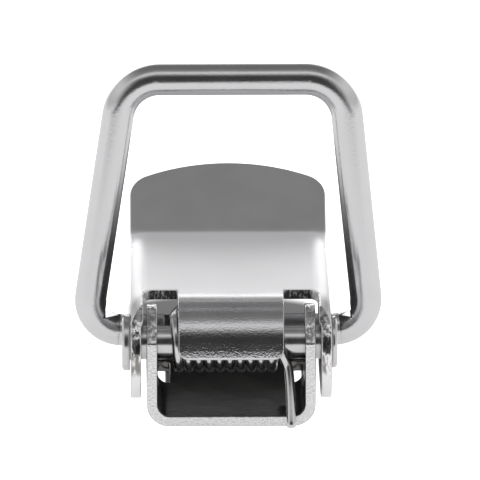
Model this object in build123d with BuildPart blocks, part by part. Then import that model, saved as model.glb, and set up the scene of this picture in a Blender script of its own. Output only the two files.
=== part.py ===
from build123d import *
from math import sin, sqrt, tau
import os

os.makedirs("parts", exist_ok=True)

# Over centre toggle latch. All sizes are in millimetres.
# +X runs along the pivots, +Y towards the thumb tip, +Z up from the mounting face.
# The origin lies on the mounting face, midway between the two screw holes.

# Base bracket: one folded sheet with a floor, two ears and a rear pad.
base_sheet = 1.0
base_width = 15.8
base_bend_r = 1.15
base_front = 24.0
base_back = 10.0
ear_length = 11.0
ear_corner_height = 8.0
ear_top_r = 3.6
neck_relief = 0.05
neck_end = 6.0
neck_corner_r = 0.8
pad_corner_r = 2.5
screw_spacing = 11.0
screw_hole_d = 3.4

# Axle through the ears and the lever's cheeks, with a head at one end and a peened end.
axle_y = -19.8
axle_z = 7.0
axle_d = 3.2
axle_head_d = 5.3
axle_head_t = 0.75
axle_head_chamfer = 0.2
axle_peen_d = 4.9
axle_peen_t = 0.5
axle_peen_dish_d = 2.4
axle_peen_dish_depth = 0.25

# Lever: one folded sheet with a curled tongue, two cheeks, shallow flanges and a raised tip.
lever_sheet = 1.0
lever_top = 10.98
lever_bend_r = 0.7
cheek_bottom = 1.76
notch_rear = -15.9
notch_side_margin = 0.2
notch_corner_r = 1.0
tongue_width = 9.9
tongue_drop = 9.5
tongue_corner_r = 1.0
flange_depth = 2.5
flange_start = -4.0
flange_end = 1.2
flange_blend_r = 3.0
tip_bend_y = 3.6
tip_bend_r = 1.0
tip_angle = 36.0
tip_length = 8.2
tip_end_r = 20.0
tip_corner_r = 2.6

# Wire bail: one bent rod whose feet turn inwards through the cheeks.
bail_wire_d = 3.0
bail_y = -11.6
bail_z = 5.8
bail_height = 24.48
bail_foot_reach = 4.0
bail_foot_shift = -0.23
bail_foot_bend_r = 3.0
bail_head_inset = 3.08
bail_head_shift = 0.34
bail_head_bend_r = 3.95
bail_left_tail = 2.2
bail_right_tail = 3.8
bail_press_margin = 0.05

# Torsion spring wound round the axle, with a long leg over the floor's front edge.
# Its thin wire has an eight-sided section with a round wire's area.
spring_wire_d = 0.9
spring_wire_sides = 8
spring_mean_r = 2.4
spring_turn_gap = 0.07
spring_turns = 10.25
spring_start_x = -5.3
spring_leg_end_z = 0.25
spring_leg_lap = 1.08
spring_leg_jog = 0.72
spring_leg_jog_drop = 2.0
spring_tail_x = -3.9
spring_tail_length = 4.6

# Clearances.
ear_side_clearance = 0.5
ear_axle_clearance = 0.03
pivot_clearance = 0.08
axle_end_clearance = 0.05
spring_rest_clearance = 0.03
spring_side_clearance = 0.2

# Sizes worked out from the values above.
base_front_y = -base_front
ear_back_y = base_front_y + ear_length
base_bend_outer_r = base_bend_r + base_sheet
neck_width = base_width - 2 * (base_bend_outer_r + neck_relief)
ear_top = axle_z + ear_top_r
lever_width = base_width + 2 * (ear_side_clearance + lever_sheet)
lever_bend_outer_r = lever_bend_r + lever_sheet
lever_under = lever_top - lever_sheet
lever_mid = lever_top - lever_sheet / 2
cheek_nose_r = (lever_top - cheek_bottom) / 2
cheek_nose_z = lever_top - cheek_nose_r
cheek_boss_r = bail_z - cheek_bottom
cheek_inner_x = lever_width / 2 - lever_sheet
notch_half = cheek_inner_x - notch_side_margin
tongue_outer_r = lever_top - axle_z
tongue_mid_r = tongue_outer_r - lever_sheet / 2
flange_bottom = lever_top - flange_depth
axle_grip = lever_width + 2 * axle_end_clearance
bail_head_z = bail_z + bail_height
bail_foot_x = lever_width / 2 + bail_foot_reach
bail_head_x = bail_foot_x - bail_head_inset
spring_corner_r = spring_wire_d / 2 * sqrt(tau / spring_wire_sides / sin(tau / spring_wire_sides))
spring_pitch = spring_wire_d + spring_turn_gap
spring_side_turn = 180 / spring_wire_sides
spring_leg_x = tongue_width / 2 + spring_wire_d / 2 + spring_side_clearance
spring_leg_end_y = base_front_y - spring_leg_lap

axle_line = Axis((0, axle_y, axle_z), (1, 0, 0))


def spring_plane(path, away):
    """The plane across the start of a path, turned so that its first axis leaves the axle."""
    return Plane(path @ 0, x_dir=away, z_dir=path % 0)


with BuildPart() as base_bracket:
    # The front is a channel: floor and ears joined by round bends.
    with BuildSketch(Plane.XZ.offset(base_front)):
        with BuildLine():
            FilletPolyline(
                (-base_width / 2 + base_sheet / 2, ear_top + base_sheet),
                (-base_width / 2 + base_sheet / 2, base_sheet / 2),
                (base_width / 2 - base_sheet / 2, base_sheet / 2),
                (base_width / 2 - base_sheet / 2, ear_top + base_sheet),
                radius=base_bend_r + base_sheet / 2,
            )
        trace(line_width=base_sheet)
    extrude(amount=-ear_length)

    # Each ear rises straight at the front, rounds over the axle and slopes down to its root.
    with BuildSketch(Plane.YZ):
        with Locations((axle_y, axle_z)):
            Circle(ear_top_r)
        with BuildLine():
            Polyline(
                (base_front_y, 0),
                (base_front_y, ear_corner_height),
                (ear_back_y, base_bend_outer_r),
                (ear_back_y, 0),
                close=True,
            )
        make_face()
        make_hull()
    extrude(amount=base_width, both=True, mode=Mode.INTERSECT)

    # Behind the ears the floor narrows to a neck and widens to the screw pad.
    with BuildSketch(Plane.XY):
        with Locations((0, ear_back_y)):
            Rectangle(neck_width, base_back - ear_back_y, align=(Align.CENTER, Align.MIN))
        with Locations((0, -neck_end)):
            Rectangle(base_width, base_back + neck_end, align=(Align.CENTER, Align.MIN))
        fillet(vertices().group_by(Axis.Y)[1], radius=neck_corner_r)
        fillet(vertices().group_by(Axis.Y)[-1], radius=pad_corner_r)
    extrude(amount=base_sheet)

    with GridLocations(0, screw_spacing, 1, 2):
        Hole(radius=screw_hole_d / 2)
    with BuildSketch(Plane.YZ):
        with Locations((axle_y, axle_z)):
            Circle(axle_d / 2 + ear_axle_clearance)
    extrude(amount=base_width, both=True, mode=Mode.SUBTRACT)

base_bracket.part.label = "base_bracket"
export_step(base_bracket.part, "parts/base_bracket.step")


with BuildPart() as lever_sides:
    # Top plate and sides are one inverted channel with round bends.
    with BuildSketch(Plane.XZ.offset(-flange_end)):
        with BuildLine():
            FilletPolyline(
                (-lever_width / 2 + lever_sheet / 2, 0),
                (-lever_width / 2 + lever_sheet / 2, lever_mid),
                (lever_width / 2 - lever_sheet / 2, lever_mid),
                (lever_width / 2 - lever_sheet / 2, 0),
                radius=lever_bend_r + lever_sheet / 2,
            )
        trace(line_width=lever_sheet)
    extrude(amount=flange_end - axle_y + cheek_nose_r)

    # Seen from the side, a full round nose and a boss at the bail's pivot run back into a low flange.
    with BuildSketch(Plane.YZ):
        with Locations((axle_y, cheek_nose_z)):
            Circle(cheek_nose_r)
        with Locations((bail_y, bail_z)):
            Circle(cheek_boss_r)
        with BuildLine():
            Polyline(
                (axle_y, lever_top),
                (flange_start, lever_top),
                (flange_start, flange_bottom),
                close=True,
            )
        make_face()
        make_hull()
        with BuildLine():
            Polyline(
                (bail_y, lever_top),
                (bail_y, flange_bottom),
                (flange_start, flange_bottom),
                (flange_end, lever_under),
                (flange_end, lever_top),
                close=True,
            )
        make_face()
        fillet(vertices().sort_by_distance((flange_start, flange_bottom))[0], radius=flange_blend_r)
    extrude(amount=lever_width, both=True, mode=Mode.INTERSECT)

    # The front of the plate is open between the cheeks, for the ears and the tongue.
    with BuildSketch(Plane.XY.offset(lever_top)):
        with Locations((0, notch_rear)):
            Rectangle(2 * notch_half, base_front, align=(Align.CENTER, Align.MAX))
        fillet(vertices().group_by(Axis.Y)[-1], radius=notch_corner_r)
    extrude(amount=-lever_bend_outer_r, mode=Mode.SUBTRACT)

    with BuildSketch(Plane.YZ):
        with Locations((axle_y, axle_z)):
            Circle(axle_d / 2 + pivot_clearance)
        with Locations((bail_y, bail_z)):
            Circle(bail_wire_d / 2 + pivot_clearance)
    extrude(amount=lever_width, both=True, mode=Mode.SUBTRACT)


with BuildPart() as lever:
    # The tongue runs forward between the ears and curls down over the spring.
    with BuildSketch(Plane.YZ):
        with BuildLine():
            curl = CenterArc(
                (axle_y, axle_z), tongue_mid_r, 180 + tongue_drop, -(90 + tongue_drop)
            )
            Line(curl @ 1, (notch_rear, lever_mid))
        trace(line_width=lever_sheet)
    extrude(amount=tongue_width / 2, both=True)
    lip = faces().sort_by(Axis.Z)[0]
    fillet(lip.edges().filter_by(Axis.X, reverse=True), radius=tongue_corner_r)

    add(lever_sides.part)

    # Behind the flanges the plate stays flat to its full width and bends up to the tip.
    with BuildSketch(Plane.YZ):
        with BuildLine():
            rear_flat = Line((flange_end, lever_mid), (tip_bend_y, lever_mid))
            tip_bend = JernArc(
                rear_flat @ 1, rear_flat % 1, tip_bend_r + lever_sheet / 2, tip_angle
            )
        trace(line_width=lever_sheet)
    extrude(amount=lever_width / 2, both=True)
    tip_root = faces().sort_by(Axis.Y)[-1]
    tip_normal = Vector(1, 0, 0).cross(tip_root.normal_at())

    # The thumb end is a wide arc with round corners.
    tip_plane = Plane(tip_root.center(), x_dir=(1, 0, 0), z_dir=tip_normal)
    with BuildSketch(tip_plane.offset(-lever_sheet / 2)):
        Rectangle(lever_width, tip_length, align=(Align.CENTER, Align.MIN))
        with Locations((0, tip_length - tip_end_r)):
            Circle(tip_end_r, mode=Mode.INTERSECT)
        fillet(vertices().group_by(Axis.Y)[-1], radius=tip_corner_r)
    extrude(amount=lever_sheet)

lever.part.label = "lever"
export_step(lever.part, "parts/lever.step")


with BuildPart() as axle_rivet:
    with BuildSketch(Plane(origin=(0, axle_y, axle_z), x_dir=(1, 0, 0), z_dir=(0, -1, 0))):
        with BuildLine():
            Polyline(
                (-axle_grip / 2 - axle_head_t, 0),
                (-axle_grip / 2 - axle_head_t, axle_head_d / 2),
                (-axle_grip / 2, axle_head_d / 2),
                (-axle_grip / 2, axle_d / 2),
                (axle_grip / 2, axle_d / 2),
                (axle_grip / 2, axle_peen_d / 2),
                (axle_grip / 2 + axle_peen_t, axle_peen_d / 2),
                (axle_grip / 2 + axle_peen_t, axle_peen_dish_d / 2),
                (axle_grip / 2 + axle_peen_t - axle_peen_dish_depth, 0),
                close=True,
            )
        make_face()
        rims = vertices().group_by(Axis.X)[0] + vertices().group_by(Axis.X)[-1]
        chamfer(rims.group_by(Axis.Y)[-2:], length=axle_head_chamfer)
    revolve(axis=axle_line)

axle_rivet.part.label = "axle_rivet"
export_step(axle_rivet.part, "parts/axle_rivet.step")


with BuildPart() as torsion_spring:
    # The coil starts on top of the axle at the left and ends at the front, on the right.
    with BuildLine() as coil_path:
        Helix(
            spring_pitch,
            spring_pitch * spring_turns,
            spring_mean_r,
            center=(spring_start_x, axle_y, axle_z),
            direction=(1, 0, 0),
        )
    coil = coil_path.line
    coil_start_away = coil @ 0 - Vector((coil @ 0).X, axle_y, axle_z)
    coil_end_away = coil @ 1 - Vector((coil @ 1).X, axle_y, axle_z)
    with BuildSketch(spring_plane(coil, coil_start_away)):
        RegularPolygon(spring_corner_r, spring_wire_sides, rotation=spring_side_turn)
    sweep(path=coil, is_frenet=True, clean=False)

    # The long leg steps outwards past the tongue and bears on the floor's front edge.
    leg_end = Vector(spring_leg_x, spring_leg_end_y, spring_leg_end_z)
    jog_end = Vector(
        (coil @ 1).X + spring_leg_jog,
        (coil @ 1).Y,
        (coil @ 1).Z - spring_leg_jog_drop,
    )
    with BuildLine() as leg_path:
        Spline(coil @ 1, jog_end, leg_end, tangents=(coil % 1, leg_end - jog_end))
    leg = leg_path.line
    with BuildSketch(spring_plane(leg, coil_end_away)):
        RegularPolygon(spring_corner_r, spring_wire_sides, rotation=spring_side_turn)
    sweep(path=leg, clean=False)

    # The short tail lies under the lever's plate.
    tail_end = Vector(
        spring_tail_x,
        (coil @ 0).Y + spring_tail_length,
        lever_under - spring_rest_clearance - spring_wire_d / 2,
    )
    with BuildLine() as tail_path:
        Spline(coil @ 0, tail_end, tangents=((coil % 0) * -1, tail_end - coil @ 0))
    tail = tail_path.line
    with BuildSketch(spring_plane(tail, coil_start_away)):
        RegularPolygon(spring_corner_r, spring_wire_sides, rotation=spring_side_turn)
    sweep(path=tail, clean=False)

torsion_spring.part.label = "torsion_spring"
export_step(torsion_spring.part, "parts/torsion_spring.step")


with BuildPart() as wire_bail:
    # One rod: two feet on the pivot line, two leaning sides and a straight head.
    foot_left = (bail_foot_shift - bail_foot_x, bail_z)
    foot_right = (bail_foot_shift + bail_foot_x, bail_z)
    head_left = (bail_head_shift - bail_head_x, bail_head_z)
    head_right = (bail_head_shift + bail_head_x, bail_head_z)
    with BuildLine(Plane.XZ.offset(-bail_y)) as bail_path:
        FilletPolyline(
            (bail_left_tail - cheek_inner_x, bail_z),
            foot_left,
            head_left,
            head_right,
            foot_right,
            (cheek_inner_x - bail_right_tail, bail_z),
            radius=(bail_foot_bend_r, bail_head_bend_r, bail_head_bend_r, bail_foot_bend_r),
        )
    rod = bail_path.line
    across = Plane(rod @ 0, z_dir=rod % 0)
    lower_half = Edge.make_circle(bail_wire_d / 2, across, start_angle=0, end_angle=180)
    upper_half = Edge.make_circle(bail_wire_d / 2, across, start_angle=180, end_angle=360)
    sweep(Face(Wire([lower_half, upper_half])), path=rod, clean=False)

    # The bending tool leaves the inside of each foot's bend square.
    with BuildSketch(Plane.XZ.offset(-bail_y)):
        with BuildLine():
            Polyline(foot_left, head_left, head_right, foot_right, close=True)
        make_face()
        offset(amount=-bail_wire_d / 2 - bail_press_margin, kind=Kind.INTERSECTION)
        with Locations((0, bail_head_z)):
            Rectangle(
                2 * bail_foot_x,
                bail_height - bail_foot_bend_r - bail_wire_d / 2,
                align=(Align.CENTER, Align.MAX),
                mode=Mode.SUBTRACT,
            )
    extrude(amount=bail_wire_d / 2, both=True, clean=False, mode=Mode.SUBTRACT)

wire_bail.part.label = "wire_bail"
export_step(wire_bail.part, "parts/wire_bail.step")
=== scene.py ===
import math

import bmesh
import bpy
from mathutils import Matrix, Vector


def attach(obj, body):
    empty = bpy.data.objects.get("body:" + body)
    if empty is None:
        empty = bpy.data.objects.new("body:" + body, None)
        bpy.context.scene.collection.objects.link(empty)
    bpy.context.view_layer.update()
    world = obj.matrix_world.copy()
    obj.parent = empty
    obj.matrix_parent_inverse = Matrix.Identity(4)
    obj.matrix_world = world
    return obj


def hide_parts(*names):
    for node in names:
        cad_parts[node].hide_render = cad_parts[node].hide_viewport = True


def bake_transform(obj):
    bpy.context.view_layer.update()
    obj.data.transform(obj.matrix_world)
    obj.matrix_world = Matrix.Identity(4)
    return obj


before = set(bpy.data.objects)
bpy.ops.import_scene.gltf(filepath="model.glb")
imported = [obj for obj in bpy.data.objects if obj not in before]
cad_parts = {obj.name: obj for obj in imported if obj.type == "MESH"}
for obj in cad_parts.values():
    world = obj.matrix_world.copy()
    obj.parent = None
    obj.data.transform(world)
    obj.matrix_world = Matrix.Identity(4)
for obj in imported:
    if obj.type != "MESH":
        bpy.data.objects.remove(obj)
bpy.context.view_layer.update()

MM = 0.001

# Places on the latch in millimetres: x runs along its pivots, y towards the thumb tip, z up.
axle_y, axle_z = -19.8, 7.0
base_half = 7.9
ear_corner_z = 8.0
lever_top = 10.98
lever_under = 9.98
tongue_half = 4.95
cheek_inner_x = 8.4
notch_rear_y = -15.9
flange_end_y = 1.2
tip_bend_y = 3.6
tip_angle = 36.0

# Colours of the plated metal.
dim_nickel = (0.66, 0.655, 0.665, 1.0)
bright_nickel = (0.76, 0.755, 0.77, 1.0)
painted_sheen_nickel = (0.94, 0.93, 0.945, 1.0)
shorn_bright = (0.88, 0.875, 0.885, 1.0)
shorn_dull = (0.40, 0.39, 0.38, 1.0)
torn_bright = (0.95, 0.945, 0.94, 1.0)
torn_dull_and_shade = (0.30, 0.29, 0.28, 1.0)
painted_shade_dark = (0.16, 0.155, 0.15, 1.0)


# Shader building -------------------------------------------------------------------------------


class Value:
    """A number that varies over a surface. Arithmetic on it adds the Math nodes that do the sum."""

    def __init__(self, finish, socket):
        self.finish = finish
        self.socket = socket

    def _math(self, operation, *terms):
        return self.finish.node("ShaderNodeMath", {"operation": operation}, *terms)

    def __add__(self, other):
        return self._math("ADD", self, other)

    __radd__ = __add__

    def __sub__(self, other):
        return self._math("SUBTRACT", self, other)

    def __rsub__(self, other):
        return self._math("SUBTRACT", other, self)

    def __mul__(self, other):
        return self._math("MULTIPLY", self, other)

    __rmul__ = __mul__

    def __truediv__(self, other):
        return self._math("DIVIDE", self, other)

    def __rtruediv__(self, other):
        return self._math("DIVIDE", other, self)

    def __pow__(self, other):
        return self._math("POWER", self, other)

    def __rpow__(self, other):
        return self._math("POWER", other, self)

    def __abs__(self):
        return self._math("ABSOLUTE", self)


class Finish:
    """A node tree that is built by calls, for a material or for the studio's surroundings."""

    def __init__(self, owner):
        owner.use_nodes = True
        self.tree = owner.node_tree
        self.tree.nodes.clear()

    def node(self, kind, settings=None, *values, output=0, at=None, **named):
        """Adds a node: its settings first, then its sockets by order, by number or by name.

        The result is the output that is asked for by number or name, or a tuple of several.
        """
        made = self.tree.nodes.new(kind)
        for setting, value in (settings or {}).items():
            if setting == "stops":
                self._set_stops(made.color_ramp, value)
            else:
                setattr(made, setting, value)
        sockets = dict(enumerate(values))
        sockets.update(at or {})
        sockets.update({name.replace("_", " "): value for name, value in named.items()})
        for socket, value in sockets.items():
            self._fill(made.inputs[socket], value)
        if not made.outputs:
            return None
        if isinstance(output, tuple):
            return tuple(Value(self, made.outputs[each]) for each in output)
        return Value(self, made.outputs[output])

    def _fill(self, socket, value):
        if isinstance(value, Value):
            self.tree.links.new(value.socket, socket)
        else:
            socket.default_value = value

    @staticmethod
    def _set_stops(ramp, stops):
        while len(ramp.elements) > 1:
            ramp.elements.remove(ramp.elements[-1])
        ramp.elements[0].position, ramp.elements[0].color = stops[0][0], grey(stops[0][1])
        for position, level in stops[1:]:
            ramp.elements.new(position).color = grey(level)

    def place(self):
        """The place on the surface, in millimetres from the piece's origin."""
        metres = self.node("ShaderNodeTexCoord", output="Object")
        return self.node("ShaderNodeVectorMath", {"operation": "SCALE"}, metres, Scale=1 / MM)

    def parts(self, vector):
        """The three numbers of a vector."""
        return self.node("ShaderNodeSeparateXYZ", {}, vector, output=("X", "Y", "Z"))

    def ramp(self, value, stops):
        """A number read off a line through the given stops."""
        return self.node("ShaderNodeValToRGB", {"stops": stops}, value)

    def noise(self, place, scale, detail=2.0):
        """Soft random mottling, about 0.5 on average."""
        sizes = {"Scale": scale, "Detail": detail, "Roughness": 0.5}
        return self.node("ShaderNodeTexNoise", Vector=place, **sizes)

    def stretch(self, place, along):
        """The same place with each axis scaled, which draws a pattern out along the small ones."""
        return self.node("ShaderNodeMapping", Vector=place, Scale=along)

    def step(self, value, start, end):
        """A soft step, 0 at start and 1 at end."""
        smooth = {"interpolation_type": "SMOOTHSTEP"}
        return self.node("ShaderNodeMapRange", smooth, value, start, end, 0.0, 1.0)

    def facing(self):
        """How far a face looks along each axis, from -1 to 1."""
        return self.parts(self.node("ShaderNodeNewGeometry", output="True Normal"))

    def facing_forward(self):
        """1 on faces that look along -Y, and 0 on the others."""
        return self.step(self.facing()[1], -0.8, -0.97)

    def on_rims(self):
        """1 on faces that don't look sideways, such as an upright sheet's rim, and 0 elsewhere."""
        return self.step(abs(self.facing()[0]), 0.5, 0.2)

    def tint(self, share, dark, light):
        """A colour between two, by a share from 0 to 1."""
        colours = {6: dark, 7: light}
        return self.node("ShaderNodeMix", {"data_type": "RGBA"}, share, at=colours, output=2)

    def bump(self, height, depth, normal=None):
        """The surface normal for a height, where a height of 1 is depth millimetres."""
        sockets = {"Strength": 1.0, "Distance": depth * MM, "Height": height}
        if normal:
            sockets["Normal"] = normal
        return self.node("ShaderNodeBump", **sockets)

    def close(self, shader, kind="ShaderNodeOutputMaterial"):
        """Ends the tree in its shader."""
        self.node(kind, {}, shader)


def grey(level):
    return (level, level, level, 1.0)


# Surface finishes ------------------------------------------------------------------------------

# Each area of a finish is 1 on a piece's own spot and 0 elsewhere, and fades between two places in
# millimetres. Mottling is sized in blots to the millimetre, and relief by its depth in millimetres.


def nickel(name):
    """A new material, and the place on its surface."""
    material = bpy.data.materials.new(name)
    finish = Finish(material)
    return material, finish, finish.place()


def close_nickel(finish, colour, roughness, normal, metallic=1.0):
    """Ends a nickel finish in one metal shader."""
    finish.close(
        finish.node(
            "ShaderNodeBsdfPrincipled",
            Base_Color=colour,
            Metallic=metallic,
            Roughness=roughness,
            Normal=normal,
        )
    )


def rolled_sheet(finish, place):
    """The slow waves and the clouds in the haze that rolled sheet keeps under its plating."""
    waves = finish.noise(place, 0.42, detail=1.0)
    clouds = finish.noise(place, 0.3, detail=3.0)
    return waves, clouds


def lever_finish():
    """Nickel over folded sheet: a hazy plate painted lighter as painted sheen, torn rims, and a
    polished tongue with orange peel. Painted shade darkens the notch's rear face.
    """
    material, finish, place = nickel("lever_nickel")
    x, y, z = finish.parts(place)

    middle = finish.step(abs(x), tongue_half + 0.15, tongue_half)
    tongue = finish.step(y, notch_rear_y - 0.3, notch_rear_y - 2.6) * middle
    # The top plate gets a lighter colour and less metal: painted sheen standing in for reflected
    # light.
    plate = finish.step(y, tip_bend_y + 0.8, tip_bend_y - 0.2) * finish.step(z, 8.6, 9.6)
    plate = plate * finish.step(y, notch_rear_y - 3.0, notch_rear_y)
    # The notch's rear face is sheared metal, and its darkening below is partly painted shade.
    notch_edge = finish.facing_forward() * finish.step(y, notch_rear_y - 0.4, notch_rear_y - 0.1)
    notch_face_shade = notch_edge * finish.step(z, lever_under - 0.28, lever_under - 0.08)
    rim = finish.on_rims() * finish.step(abs(x), cheek_inner_x - 0.4, cheek_inner_x - 0.2)
    rim = rim * finish.step(y, notch_rear_y + 0.3, notch_rear_y - 0.7)
    nose = rim * finish.step(z, 4.6, 5.6)

    peel = finish.noise(place, 6.0, detail=2.5)
    waves, clouds = rolled_sheet(finish, place)
    shear = finish.noise(finish.stretch(place, (1.0, 1.0, 0.35)), 6.0, detail=3.0)
    streaks = finish.noise(finish.stretch(place, (1.0, 1.0, 0.28)), 1.9)

    # Below its middle the tongue's front flares a little, and its top droops towards the front.
    flare_top_z, flare_rate = 7.98, 0.080
    droop_start_y, droop_end_y, droop_depth = -18.0, -20.9, 0.30
    below = finish.node("ShaderNodeMath", {"operation": "MAXIMUM"}, flare_top_z - z, 0.0)
    flare = below * below * flare_rate * tongue
    droop = finish.step(y, droop_start_y, droop_end_y) * -droop_depth * middle
    normal = finish.bump(flare + droop, 1.0)
    normal = finish.bump(waves, 0.010, normal)
    normal = finish.bump(peel * (0.08 + 0.92 * tongue), 0.024, normal)
    normal = finish.bump(shear * notch_edge, 0.09, normal)
    normal = finish.bump(streaks * (0.15 * rim + 0.85 * nose), 0.20, normal)

    roughness = 0.38 + 0.08 * clouds - 0.27 * tongue + 0.02 * notch_edge - 0.25 * rim
    colour = finish.tint(clouds, (0.67, 0.665, 0.68, 1.0), bright_nickel)
    # Painted sheen on the top plate.
    colour = finish.tint(plate, colour, painted_sheen_nickel)
    # Painted shade: the notch's rear face darkened, nearly black but for the shear streaks.
    colour = finish.tint(notch_edge * 0.5, colour, torn_dull_and_shade)
    colour = finish.tint(notch_face_shade * (1.15 - finish.step(shear, 0.45, 0.7)), colour, grey(0.06))
    colour = finish.tint(rim, colour, (0.90, 0.895, 0.905, 1.0))
    torn_colour = finish.tint(finish.step(streaks, 0.40, 0.56), torn_dull_and_shade, torn_bright)
    colour = finish.tint(nose, colour, torn_colour)
    close_nickel(finish, colour, roughness, normal, 1.0 - 0.36 * plate)
    return material


def bracket_finish():
    """Nickel over folded sheet, with matt sheared front edges and painted shade between the ears.
    """
    material, finish, place = nickel("bracket_nickel")
    x, y, z = finish.parts(place)

    cut = finish.facing_forward() * finish.step(y, -18.0, -20.0)
    # Painted shade: the well between the ears, under the lever, is coloured dark.
    inside = finish.step(z, 9.0, 8.0) * finish.step(abs(x), base_half - 0.08, base_half - 0.18)
    inside = inside * (1 - cut) * finish.step(y, -1.0, -5.0)
    ears = finish.on_rims() * finish.step(z, ear_corner_z - 0.1, ear_corner_z + 0.3)
    # Painted shade: a dark band across the ears' fronts just above their corners.
    corner = finish.step(z, ear_corner_z - 0.05, ear_corner_z + 0.15)
    corner = corner * finish.step(z, ear_corner_z + 1.1, ear_corner_z + 0.7)
    corner = corner * finish.step(y, -22.6, -23.2)

    peel = finish.noise(place, 3.2)
    waves, clouds = rolled_sheet(finish, place)
    shear = finish.noise(place, 5.0, detail=4.0)
    streaks = finish.noise(finish.stretch(place, (1.3, 1.0, 0.16)), 1.7)
    grain = finish.step(shear, 0.40, 0.62)

    normal = finish.bump(waves, 0.012)
    normal = finish.bump(peel, 0.006, normal)
    normal = finish.bump(shear * cut, 0.05, normal)
    normal = finish.bump(streaks * ears, 0.11, normal)

    roughness = 0.12 + 0.10 * clouds + 0.08 * cut
    colour = finish.tint(clouds, dim_nickel, bright_nickel)
    # Painted shade in the well between the ears.
    colour = finish.tint(inside, colour, painted_shade_dark)
    # Painted shade on the ears' front corners.
    colour = finish.tint(corner * 0.6, colour, grey(0.08))
    streak_colour = finish.tint(finish.step(streaks, 0.44, 0.60), grey(0.55), grey(0.95))
    colour = finish.tint(ears, colour, streak_colour)
    colour = finish.tint(cut * (1 - ears), colour, shorn_bright)
    colour = finish.tint(cut * (1 - grain) * 0.22, colour, shorn_dull)
    close_nickel(finish, colour, roughness, normal)
    return material


def bail_finish():
    """Nickel over drawn wire, with faint lines along it."""
    material, finish, place = nickel("bail_nickel")
    lines = finish.noise(finish.stretch(place, (1.0, 1.0, 0.06)), 3.5)
    grain = finish.noise(place, 4.0, detail=3.0)
    clouds = finish.noise(place, 0.3, detail=3.0)
    normal = finish.bump(lines, 0.002)
    normal = finish.bump(grain, 0.008, normal)
    colour = finish.tint(clouds, dim_nickel, bright_nickel)
    close_nickel(finish, colour, 0.15 + 0.12 * clouds, normal)
    return material


def spring_finish():
    """Bright plated spring wire."""
    material, finish, place = nickel("spring_nickel")
    specks = finish.noise(place, 2.4)
    colour = finish.tint(specks, dim_nickel, (0.78, 0.775, 0.77, 1.0))
    close_nickel(finish, colour, 0.14 + 0.10 * specks, finish.bump(specks, 0.003))
    return material


def rivet_finish():
    """Plated rivet steel with the marks of its heading tool."""
    material, finish, place = nickel("rivet_nickel")
    marks = finish.noise(place, 1.5, detail=3.0)
    colour = finish.tint(marks, (0.62, 0.61, 0.60, 1.0), bright_nickel)
    close_nickel(finish, colour, 0.14 + 0.14 * marks, finish.bump(marks, 0.006))
    return material


# Pieces ----------------------------------------------------------------------------------------


def clean_copy(node):
    """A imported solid's mesh in bmesh form, with its flat faces whole."""
    weld = 0.0005 * MM
    flat_turn = math.radians(0.4)
    shape = bmesh.new()
    shape.from_mesh(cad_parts[node].data)
    bmesh.ops.remove_doubles(shape, verts=shape.verts, dist=weld)
    bmesh.ops.dissolve_limit(shape, angle_limit=flat_turn, verts=shape.verts, edges=shape.edges)
    return shape


def new_piece(name, shape):
    """A new object from a mesh in bmesh form."""
    mesh = bpy.data.meshes.new(name)
    shape.to_mesh(mesh)
    shape.free()
    piece = bpy.data.objects.new(name, mesh)
    bpy.context.scene.collection.objects.link(piece)
    return piece


def slice_faces(shape, faces, axis, place):
    """Adds a cut across the given faces, where one axis has the given place."""
    edges = {edge for face in faces for edge in face.edges}
    verts = {vert for face in faces for vert in face.verts}
    point, normal = [0.0, 0.0, 0.0], [0.0, 0.0, 0.0]
    point[axis], normal[axis] = place * MM, 1.0
    bmesh.ops.bisect_plane(
        shape,
        geom=faces + list(edges) + list(verts),
        dist=0.001 * MM,
        plane_co=point,
        plane_no=normal,
    )


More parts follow.
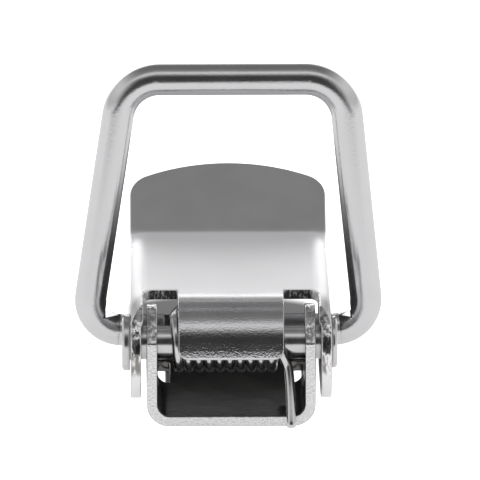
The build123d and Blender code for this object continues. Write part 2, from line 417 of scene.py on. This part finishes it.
def run_out_shoulders(shape):
    """Carries the plate's rounded shoulders past the flanges' ends, and fades them into the tip.

    A shoulder is the round of the lever's side bend, from inner_x out to the plate's side. Behind
    the flanges the solid is flat to its side, so a point's share of that flat width gives the share
    of the round that it is moved to.
    """
    start_y, end_y = flange_end_y, 4.4
    inner_x, radius = 7.7, 1.7
    sheet = lever_top - lever_under
    widest = math.acos((radius - sheet) / radius)
    lengthwise_cuts = 8
    skin_start, skin_depth = 0.2, 0.6
    least_share = 0.02
    sliver_area = 0.1
    margin, weld, close = 0.3, 0.02, 0.01

    def at_start(vert):
        return abs(vert.co.y / MM - start_y) < close

    def share_of_round(vert):
        return math.asin(min(1.0, (vert.co.x / MM - inner_x) / radius)) / widest

    def runs_out(face):
        behind = all(vert.co.y > (start_y - close) * MM for vert in face.verts)
        return behind and any(vert.co.y < (end_y + margin) * MM for vert in face.verts)

    # The round's own mesh lines are carried on over the flat sheet, with cuts across them.
    lines = {
        round(share_of_round(vert), 3)
        for vert in shape.verts
        if at_start(vert)
        and inner_x - close < vert.co.x / MM < inner_x + radius - close
        and vert.co.z / MM > lever_under + 0.02
    }
    lines = [0.0] + sorted(share for share in lines if least_share < share < 1 - least_share)
    slice_faces(shape, list(shape.faces), 1, start_y)
    for cut in range(1, lengthwise_cuts + 1):
        place = start_y + (end_y - start_y) * cut / lengthwise_cuts
        slice_faces(shape, [face for face in shape.faces if runs_out(face)], 1, place)
    for share in lines:
        for side in (-1, 1):
            place = side * (inner_x + radius * share)
            slice_faces(shape, [face for face in shape.faces if runs_out(face)], 0, place)

    # Points move onto the round in full where it ends, and less and less towards the tip. The drop
    # is for the upper skin: before the tip's bend it comes in over the sheet's height, and on the
    # bend, where both skins rise, it is all or nothing.
    for vert in shape.verts:
        x, y, z = (value / MM for value in vert.co)
        if y < start_y - close or y > end_y or abs(x) < inner_x:
            continue
        round_away = math.hypot(abs(x) - inner_x, z - (lever_top - radius))
        if y < start_y + close and round_away < radius + close / 2:
            continue
        fade = 1.0 - (y - start_y) / (end_y - start_y)
        fade = fade * fade * (3.0 - 2.0 * fade)
        turn = (abs(x) - inner_x) / radius * widest
        if y > tip_bend_y:
            skin = float(math.cos(math.radians(tip_angle)) * (z - lever_top) > -sheet / 2)
        else:
            skin = min(1.0, max(0.0, (z - lever_under - skin_start) / skin_depth))
        across = inner_x + radius * math.sin(turn)
        vert.co.x = math.copysign(abs(x) + (across - abs(x)) * fade, x) * MM
        vert.co.z -= radius * (1.0 - math.cos(turn)) * fade * skin * MM

    # The slivers left between the round and the run-out go, and the join stays out of the easing.
    slivers = [
        face
        for face in shape.faces
        if all(at_start(vert) for vert in face.verts)
        and abs(face.normal.y) > 0.9
        and face.calc_area() < sliver_area * MM * MM
    ]
    bmesh.ops.delete(shape, geom=slivers, context="FACES_ONLY")
    join = [vert for vert in shape.verts if at_start(vert)]
    bmesh.ops.remove_doubles(shape, verts=join, dist=weld * MM)
    for edge in shape.edges:
        edge.seam = all(
            at_start(vert) and vert.co.z / MM > lever_under + 0.1 for vert in edge.verts
        )


def eased_copy(node, name, edge_radius, change=None):
    """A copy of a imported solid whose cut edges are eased, after any change to its shape."""
    sharp_turn = math.radians(28.0)
    shape = clean_copy(node)
    if change:
        change(shape)
    sharp = [
        edge
        for edge in shape.edges
        if len(edge.link_faces) == 2 and not edge.seam and edge.calc_face_angle() > sharp_turn
    ]
    bmesh.ops.bevel(
        shape,
        geom=sharp,
        offset=edge_radius * MM,
        offset_type="OFFSET",
        segments=3,
        profile=0.5,
        affect="EDGES",
        clamp_overlap=False,
        harden_normals=False,
    )
    for face in shape.faces:
        face.smooth = True
    piece = new_piece(name, shape)
    piece.modifiers.new("flat_faces", "WEIGHTED_NORMAL").weight = 60
    return piece


def dress(piece, material, node, body):
    """Gives a piece its finish and puts it in place of its solid."""
    piece.data.materials.clear()
    piece.data.materials.append(material)
    if body:
        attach(piece, body)
    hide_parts(node)


def bent_line(points, first, last, steps=12):
    """A smooth line through points that leaves along first and arrives along last."""
    spans = [(b - a).length for a, b in zip(points, points[1:])]
    turns = [first.normalized()]
    for before, after in zip(points, points[2:]):
        turns.append((after - before).normalized())
    turns.append(last.normalized())
    line = [points[0]]
    for a, b, span, leave, arrive in zip(points, points[1:], spans, turns, turns[1:]):
        for step in range(1, steps + 1):
            t = step / steps
            line.append(
                a * (2 * t**3 - 3 * t**2 + 1)
                + leave * span * (t**3 - 2 * t**2 + t)
                + b * (3 * t**2 - 2 * t**3)
                + arrive * span * (t**3 - t**2)
            )
    return line


def spring_line():
    """The middle of the spring's wire in millimetres, from the tail through the coil to the leg."""
    mean_r, pitch, turns, start_x = 2.4, 0.97, 10.25, -5.3
    points_per_turn = 28
    tail_x, tail_length, tail_z = -3.9, 4.6, 9.5
    jog = Vector((0.72, 0.0, -2.0))
    leg_end = Vector((5.6, -25.08, 0.25))

    def on_coil(turn):
        angle = 2 * math.pi * turn
        y = axle_y - mean_r * math.sin(angle)
        z = axle_z + mean_r * math.cos(angle)
        return Vector((start_x + pitch * turn, y, z))

    count = round(turns * points_per_turn)
    coil = [on_coil(turns * point / count) for point in range(count + 1)]
    drift = pitch / (2 * math.pi)
    tail_end = Vector((tail_x, coil[0].y + tail_length, tail_z))
    tail = bent_line([coil[0], tail_end], Vector((-drift, mean_r, 0)), tail_end - coil[0])
    jog_end = coil[-1] + jog
    leg = bent_line([coil[-1], jog_end, leg_end], Vector((drift, 0, -mean_r)), leg_end - jog_end)
    return tail[:0:-1] + coil + leg[1:]


def round_wire(name, line, diameter):
    """A round wire along a line, with eased ends."""
    sides, end_ease = 14, 0.08
    radius = diameter / 2
    shape = bmesh.new()
    last = len(line) - 1
    directions = [
        (line[min(i + 1, last)] - line[max(i - 1, 0)]).normalized() for i in range(last + 1)
    ]
    side = directions[0].orthogonal().normalized()
    rings = []

    def add_ring(centre, direction, ring_radius):
        across = direction.cross(side)
        ring = []
        for k in range(sides):
            angle = 2 * math.pi * k / sides
            away = side * math.cos(angle) + across * math.sin(angle)
            ring.append(shape.verts.new((centre + away * ring_radius) * MM))
        rings.append(ring)

    for number, (centre, direction) in enumerate(zip(line, directions)):
        side = (side - direction * side.dot(direction)).normalized()
        if number == 0:
            add_ring(centre, direction, radius - end_ease)
            add_ring(centre + direction * end_ease, direction, radius)
        elif number == last:
            add_ring(centre - direction * end_ease, direction, radius)
            add_ring(centre, direction, radius - end_ease)
        else:
            add_ring(centre, direction, radius)
    for one, two in zip(rings, rings[1:]):
        for k in range(sides):
            n = (k + 1) % sides
            shape.faces.new((one[k], one[n], two[n], two[k])).smooth = True
    shape.faces.new(rings[0][::-1])
    shape.faces.new(rings[-1])
    bmesh.ops.recalc_face_normals(shape, faces=shape.faces)
    return new_piece(name, shape)


lever_plate = eased_copy("lever", "lever_plate", 0.14, change=run_out_shoulders)
dress(lever_plate, lever_finish(), "lever", "lever")

bracket_plate = eased_copy("base_bracket", "bracket_plate", 0.12)
dress(bracket_plate, bracket_finish(), "base_bracket", "base")

rivet = eased_copy("axle_rivet", "rivet", 0.1)
dress(rivet, rivet_finish(), "axle_rivet", "base")

spring = round_wire("spring", spring_line(), 0.9)
dress(spring, spring_finish(), "torsion_spring", None)
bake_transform(spring)

bail = eased_copy("wire_bail", "bail", 0.1)
dress(bail, bail_finish(), "wire_bail", "bail")


# Studio ----------------------------------------------------------------------------------------


def studio_light():
    """White sweep behind and below, a dim room in front, a soft strip and a dull ceiling above."""
    # Brightness by degrees: 0 is ahead of the latch, 90 above, 180 and -180 behind, -90 below.
    below = ((-180, 1.3), (-150, 1.0), (-125, 0.42), (-110, 0.23), (-94, 0.23), (-80, 0.36))
    front = ((-66, 0.84), (-30, 0.84), (-19, 0.78), (-13, 0.50), (-7, 0.12), (-1, 0.045))
    strip = ((34, 0.04), (41, 0.12), (48, 0.32), (56, 0.80), (65, 0.82), (72, 0.42), (80, 0.23))
    ceiling = ((95, 0.19), (125, 0.17), (143, 0.24), (152, 0.45))
    sweep = ((159, 1.25), (166, 1.8), (180, 1.8))
    # Brightness at the sides by height, from 0 straight below to 1 straight above.
    sides = ((0.0, 1.2), (0.46, 1.1), (0.56, 0.55), (0.75, 0.75), (1.0, 0.3))
    backdrop_white, soft_white = 1.3, 1.05

    world = bpy.data.worlds.new("studio")
    bpy.context.scene.world = world
    finish = Finish(world)
    direction = finish.node("ShaderNodeTexCoord", output="Generated")
    across, ahead, up = finish.parts(direction)
    turn = finish.node("ShaderNodeMath", {"operation": "ARCTAN2"}, up, 0 - ahead)
    share_of_ring = turn / (2 * math.pi) + 0.5
    ring = below + front + strip + ceiling + sweep
    ring_stops = [((degrees + 180) / 360, brightness) for degrees, brightness in ring]
    ring_level = finish.ramp(share_of_ring, ring_stops)
    side_level = finish.ramp(up * 0.5 + 0.5, sides)
    to_side = finish.step(abs(across), 0.35, 0.8)
    level = ring_level * (1 - to_side) + side_level * to_side
    seen = finish.node("ShaderNodeLightPath", output="Is Camera Ray")
    soft = finish.node("ShaderNodeLightPath", output="Is Diffuse Ray")
    level = level * (1 - seen) * (1 - soft) + seen * backdrop_white + soft * soft_white
    light = finish.node("ShaderNodeBackground", Color=level, Strength=1.0)
    finish.close(light, "ShaderNodeOutputWorld")


def table_top():
    """A pale, evenly lit table, with a soft shadow under the lever and just behind it.

    Reflections see all of it less bright.
    """
    bpy.ops.mesh.primitive_plane_add(size=1.6, location=(0, 0, -0.02 * MM))
    floor = bpy.context.object
    floor.name = "table_top"
    material = bpy.data.materials.new("table_top")
    finish = Finish(material)
    x, y, _ = finish.parts(finish.place())

    # Right under the lever, but for a bright strip on each side of the base's neck.
    beside_neck = finish.step(abs(x), 6.0, 6.25) * finish.step(abs(x), 6.95, 6.7)
    near = finish.step(abs(x), 8.0, 7.4) * (1 - beside_neck)
    near = near * finish.step(y, -14.0, -12.0) * finish.step(y, 6.0, 3.0)

    # Just behind it, an oval that the lever's sides cut straight.
    oval_x, oval_y, oval_half_width, oval_half_length = -1.0, 6.0, 14.0, 12.5
    away_x = (x - oval_x) / oval_half_width
    away_y = (y - oval_y) / oval_half_length
    away = (away_x * away_x + away_y * away_y) ** 0.5
    far = finish.step(away, 1.25, 1.00) * finish.step(y, 3.0, 6.0)
    far = far * finish.step(x, -10.3, -8.8) * finish.step(x, 8.6, 7.4)
    under = near + 0.95 * far

    seen = finish.node("ShaderNodeLightPath", output="Is Camera Ray")
    glow_seen = finish.tint(under, grey(1.0), grey(0.03))
    glow_reflected = finish.tint(under, grey(0.444), grey(0.0133))
    shader = finish.node(
        "ShaderNodeBsdfPrincipled",
        Base_Color=finish.tint(under, grey(0.30), grey(0.05)),
        Roughness=0.9,
        Emission_Color=finish.tint(seen, glow_reflected, glow_seen),
        Emission_Strength=1.35,
    )
    finish.close(shader)
    floor.data.materials.append(material)


def black_flag(name, corners, level=0.015, fade=None, one_sided=False):
    """A dark card that only reflections see, with its corners in millimetres.

    It may fade in along an axis between two places, and a one-sided card is clear from behind.
    """
    mesh = bpy.data.meshes.new(name)
    mesh.from_pydata([[place * MM for place in corner] for corner in corners], [], [(0, 1, 2, 3)])
    flag = bpy.data.objects.new(name, mesh)
    bpy.context.scene.collection.objects.link(flag)
    material = bpy.data.materials.new(name)
    finish = Finish(material)
    shader = finish.node("ShaderNodeBsdfDiffuse", Color=grey(level))
    clear = finish.node("ShaderNodeBsdfTransparent", Color=grey(1.0))
    if fade:
        axis, start, end = fade
        most = 0.95
        share = finish.step(finish.parts(finish.place())[axis], start, end) * most
        shader = finish.node("ShaderNodeMixShader", {}, share, clear, shader)
    if one_sided:
        behind = finish.node("ShaderNodeNewGeometry", output="Backfacing")
        shader = finish.node("ShaderNodeMixShader", {}, behind, shader, clear)
    finish.close(shader)
    mesh.materials.append(material)
    flag.visible_camera = False
    flag.visible_diffuse = False
    flag.visible_shadow = False


def place_flags():
    """One card behind the latch, one far in front of it, and one inside each leg of the bail."""
    black_flag("rear_flag", [(-11, 14, 0.1), (11, 14, 0.1), (11, 14, 13), (-11, 14, 13)])
    front_corners = [(-400, -780, 0.3), (400, -780, 0.3), (400, -110, 0.3), (-400, -110, 0.3)]
    black_flag("front_flag", front_corners, fade=(1, -120.0, -250.0))
    left_corners = [(-10.6, -14.2, 4), (-8.6, -12.4, 25), (-8.6, 9, 25), (-10.6, 9, 4)]
    right_corners = [(-x, y, z) for x, y, z in reversed(left_corners)]
    for name, corners in (("left_leg_flag", left_corners), ("right_leg_flag", right_corners)):
        black_flag(name, corners, level=0.04, fade=(2, 26.0, 12.0), one_sided=True)


def long_lens():
    """A long lens in front of the latch, a little to its left, looking down at 17 degrees."""
    elevation = math.radians(17.0)
    azimuth = math.radians(-0.65)
    distance = 900 * MM
    px_per_metre = 10.7 / MM
    frame_side = 480
    base_front = Vector((0, -24 * MM, 0))
    base_front_px = (231.0, 426.5)
    centre_px = (frame_side / 2, frame_side / 2)
    focal_px = px_per_metre * distance
    camera_data = bpy.data.cameras.new("long_lens")
    camera_data.sensor_width = 36.0
    camera_data.lens = focal_px * camera_data.sensor_width / frame_side
    camera_data.clip_start = 0.05
    camera_data.clip_end = 10.0
    camera = bpy.data.objects.new("long_lens", camera_data)
    bpy.context.scene.collection.objects.link(camera)
    back = Vector(
        (
            math.sin(azimuth) * math.cos(elevation),
            -math.cos(azimuth) * math.cos(elevation),
            math.sin(elevation),
        )
    )
    camera.location = base_front + distance * back
    pitch = math.pi / 2 - elevation + math.atan((base_front_px[1] - centre_px[1]) / focal_px)
    yaw = azimuth - math.atan((centre_px[0] - base_front_px[0]) / focal_px)
    camera.rotation_euler = (pitch, 0, yaw)
    bpy.context.scene.camera = camera


studio_light()
table_top()
place_flags()
long_lens()
bpy.context.scene.view_settings.view_transform = "Standard"
